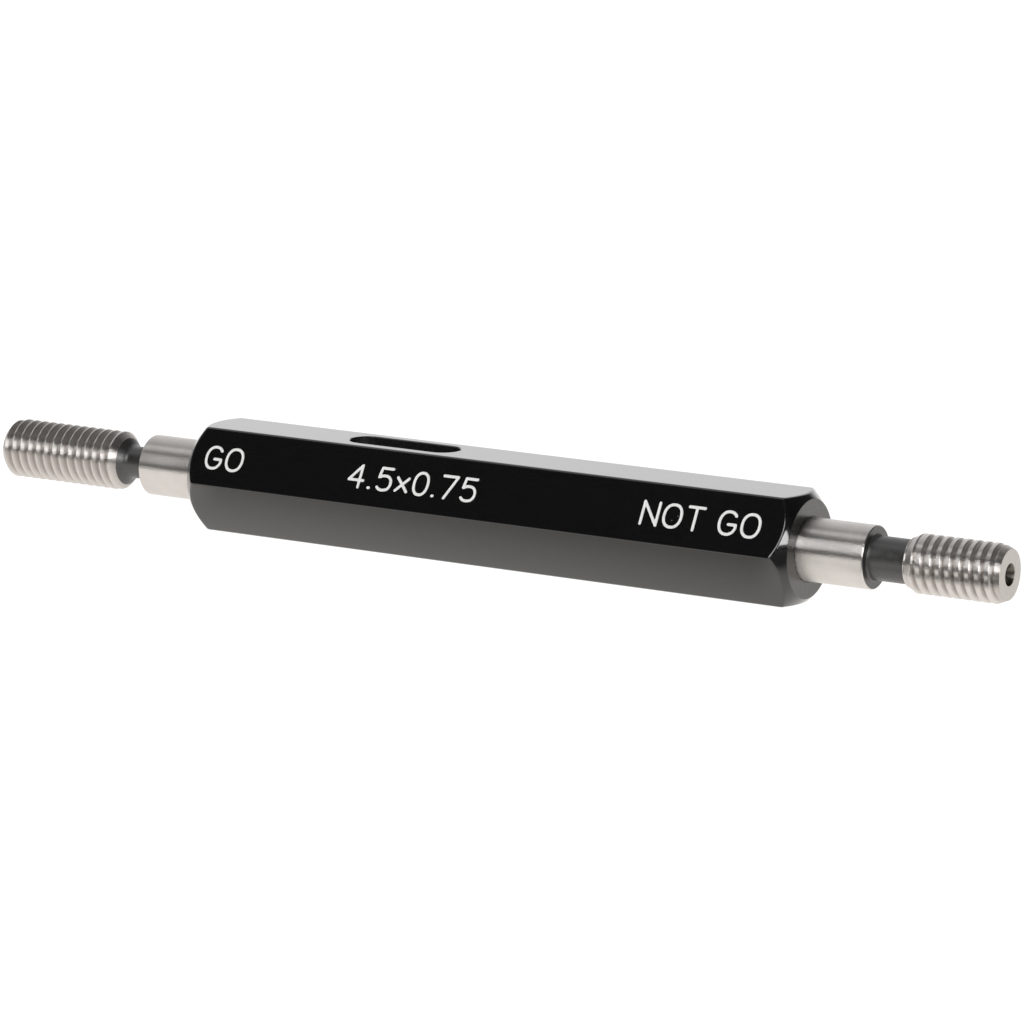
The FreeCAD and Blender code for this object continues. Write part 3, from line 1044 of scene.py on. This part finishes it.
for face in skin.faces:
    if handle_finishes[face.material_index] == HANDLE_BLACK and is_dull(face):
        face.material_index = len(handle_finishes) - 1
print("handle finishes:", [m.name for m in handle_finishes])
handle_piece = finished_piece("hexagon_handle", skin, handle_finishes, 24.0)

# %% [markdown]
# ## Riding on the frame
#
# The gauge has no moving parts, so every piece rides on the one body and takes the place of its
# CAD solid.

# %% Tie each piece to the frame
for piece, node, finish in (
    (handle_piece, "handle", "handle_black"),
    (go_piece, "go_member", "gauge_steel"),
    (notgo_piece, "not_go_member", "gauge_steel"),
):
    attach(piece, "root")
    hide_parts(node)

# %% [markdown]
# ## Table, lights and camera
#
# A black glossy tool is lit by what it mirrors. The table and the far wall are white, so the
# top and the lower flat show them; the room on the camera's side is dark, so the front flat
# stays black behind the white words. A soft box in front draws the bright band on the steel, a
# smaller one on the right puts a highlight on the cone, and a fill lamp that no surface mirrors
# lights the words.

# %% The table
def table_finish():
    """White paper. What mirrors it sees painted shade on it: dimmer in front, darkest at the front
    right.
    """
    material = bpy.data.materials.new("table_white")
    material.use_nodes = True
    tree = NodeTree(material.node_tree)
    material.node_tree.nodes.remove(material.node_tree.nodes["Principled BSDF"])
    x, y, _ = tree.split(tree.add("ShaderNodeTexCoord").outputs["Object"])
    # Painted shade, seen only in reflections: dimmer towards the front, and a dark patch at the
    # front right.
    front = tree.ramp(y, -0.10, -0.02, 0.12, 1.0, smooth=True)
    rightward = tree.ramp(tree.sum("MULTIPLY_ADD", y, 0.5, x), 0.0255, 0.0300, smooth=True)
    forward = tree.ramp(y, -0.003, -0.008, smooth=True)
    shade = tree.sum("SUBTRACT", 1.0, tree.sum("MULTIPLY", rightward, forward))
    # A painted shadow of the handle on the strip of paper in front of it, a little darker to the
    # right.
    along = tree.ramp(tree.sum("ABSOLUTE", x), 0.0225, 0.026, 1.0, 0.0, smooth=True)
    handle_shadow = tree.ramp(y, -0.0055, -0.0024, -0.42, 0.10)
    handle_shadow = tree.sum("MULTIPLY", handle_shadow, tree.ramp(y, -0.011, -0.007))
    handle_shadow = tree.sum("ADD", handle_shadow, tree.ramp(x, -0.024, 0.024, 0.06, -0.08))
    handle_shadow = tree.sum("MULTIPLY_ADD", along, handle_shadow, 1.0)
    level = tree.sum("MULTIPLY", tree.sum("MULTIPLY", front, shade), handle_shadow)
    rays = tree.add("ShaderNodeLightPath").outputs
    mirrored = rays["Is Glossy Ray"]
    level = tree.add("ShaderNodeMix", (mirrored, None, 1.0, level)).outputs[0]
    paper = tree.add("ShaderNodeBsdfDiffuse", (colour(0.88, 0.87, 0.855),)).outputs[0]
    glow = tree.add("ShaderNodeEmission")
    glow_tint = colour_mix(tree, mirrored, colour(1.0, 1.0, 1.0), colour(1.0, 0.975, 0.94))
    tree.feed(glow.inputs["Color"], glow_tint)
    tree.feed(glow.inputs["Strength"], tree.sum("MULTIPLY", level, 1.22))
    seen = tree.sum("MAXIMUM", rays["Is Camera Ray"], rays["Is Transmission Ray"])
    amount = tree.sum("MULTIPLY_ADD", seen, 0.82, tree.sum("MULTIPLY", mirrored, 0.75))
    surface = tree.add("ShaderNodeMixShader", (amount, paper, glow.outputs[0])).outputs[0]
    tree.feed(material.node_tree.nodes["Material Output"].inputs["Surface"], surface)
    return material


bpy.ops.mesh.primitive_plane_add(size=6.0, location=(0.0, 0.0, 0.0))
table = bpy.context.object
table.name = "table_top"
table.data.materials.append(table_finish())
table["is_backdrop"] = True

# %% The room
def make_room():
    """The light that comes from all round: white wall behind, dimmer above, dark in front."""
    world = bpy.data.worlds.new("studio_room")
    bpy.context.scene.world = world
    world.use_nodes = True
    tree = NodeTree(world.node_tree)
    direction = tree.add("ShaderNodeTexCoord").outputs["Generated"]
    x, y, z = tree.split(direction)
    # The bearing in the plane across the gauge: 0 is the far wall, 90 above, 180 the camera side.
    bearing = tree.sum("DEGREES", tree.sum("ARCTAN2", z, y))
    ramp = tree.add("ShaderNodeValToRGB", (tree.ramp(bearing, 0.0, 180.0),))
    stops = (
        (0, 1.0), (14, 1.0), (40, 0.82), (62, 0.68), (80, 0.47), (89, 0.34), (94, 0.88),
        (103, 0.92), (109, 0.45), (120, 0.12), (132, 0.03), (152, 0.03), (168, 0.09),
        (180, 0.12),
    )
    while len(ramp.color_ramp.elements) < len(stops):
        ramp.color_ramp.elements.new(0.5)
    for element, (degrees, level) in zip(ramp.color_ramp.elements, stops):
        element.position = degrees / 180
        element.color = colour(level, level, level)
    # A dark curtain hangs on the right, so the flanks and the cone that face it stay dark. It
    # ends above the table and lets some light in below.
    hung = tree.ramp(z, 0.20, 0.42, 0.34, 0.05, smooth=True)
    curtain = tree.ramp(x, -0.15, 0.2, 1.0, hung, smooth=True)
    room = tree.add("ShaderNodeVectorMath", (ramp.outputs[0], curtain), operation="MULTIPLY")
    seen = tree.add("ShaderNodeLightPath").outputs["Is Camera Ray"]
    level = colour_mix(tree, seen, room.outputs[0], colour(1.0, 1.0, 1.0))
    background = world.node_tree.nodes["Background"]
    tree.feed(background.inputs["Color"], level)
    background.inputs["Strength"].default_value = 1.0


make_room()


# %% The lamps
def soft_box(name, azimuth, elevation, distance, width, height, radiance, mirrored=True):
    """An area lamp that faces the gauge. Azimuth 0 is in front, 90 to the right, in degrees."""
    a, e = math.radians(azimuth), math.radians(elevation)
    away = Vector((math.sin(a) * math.cos(e), -math.cos(a) * math.cos(e), math.sin(e)))
    lamp = bpy.data.lights.new(name, "AREA")
    lamp.shape, lamp.size, lamp.size_y = "RECTANGLE", width, height
    lamp.energy = radiance * math.pi * width * height
    lit = bpy.data.objects.new(name, lamp)
    lit.location = away * distance + Vector((0.0, 0.0, AXIS_Z * MM))
    lit.rotation_mode = "QUATERNION"
    lit.rotation_quaternion = away.to_track_quat("Z", "Y")
    lit.visible_glossy = mirrored
    bpy.context.scene.collection.objects.link(lit)


soft_box("front_box", 10.0, 32.5, 0.9, 0.40, 0.55, 3.9)
soft_box("right_box", 62.0, 17.0, 0.9, 0.30, 0.30, 8.0)
soft_box("letter_fill", -15.0, 35.0, 0.9, 0.50, 0.50, 2.0, mirrored=False)

# %% The camera
CAMERA_AZIMUTH, CAMERA_ELEVATION, CAMERA_ROLL = 30.06, 11.81, -0.606
CAMERA_DISTANCE = 349.5 * MM
AIM_OFFSET = Vector((2.384, 0.0, -0.1085)) * MM
LENS, SENSOR = 167.18, 36.0


def make_camera():
    a, e, roll = (math.radians(v) for v in (CAMERA_AZIMUTH, CAMERA_ELEVATION, CAMERA_ROLL))
    low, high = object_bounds()
    target = (low + high) / 2 + AIM_OFFSET
    back = Vector((math.sin(a) * math.cos(e), -math.cos(a) * math.cos(e), math.sin(e)))
    right = Vector((math.cos(a), math.sin(a), 0.0))
    level_right, level_up = right, back.cross(right)
    right = level_right * math.cos(roll) - level_up * math.sin(roll)
    up = level_right * math.sin(roll) + level_up * math.cos(roll)
    camera = bpy.data.cameras.new("camera")
    camera.lens, camera.sensor_width = LENS, SENSOR
    camera.clip_start, camera.clip_end = 0.01, 20.0
    eye = bpy.data.objects.new("camera", camera)
    eye.matrix_world = Matrix.Translation(target + back * CAMERA_DISTANCE) @ Matrix(
        (right, up, back)
    ).transposed().to_4x4()
    bpy.context.scene.collection.objects.link(eye)
    bpy.context.scene.camera = eye


make_camera()
bpy.context.scene.view_settings.view_transform = "Standard"
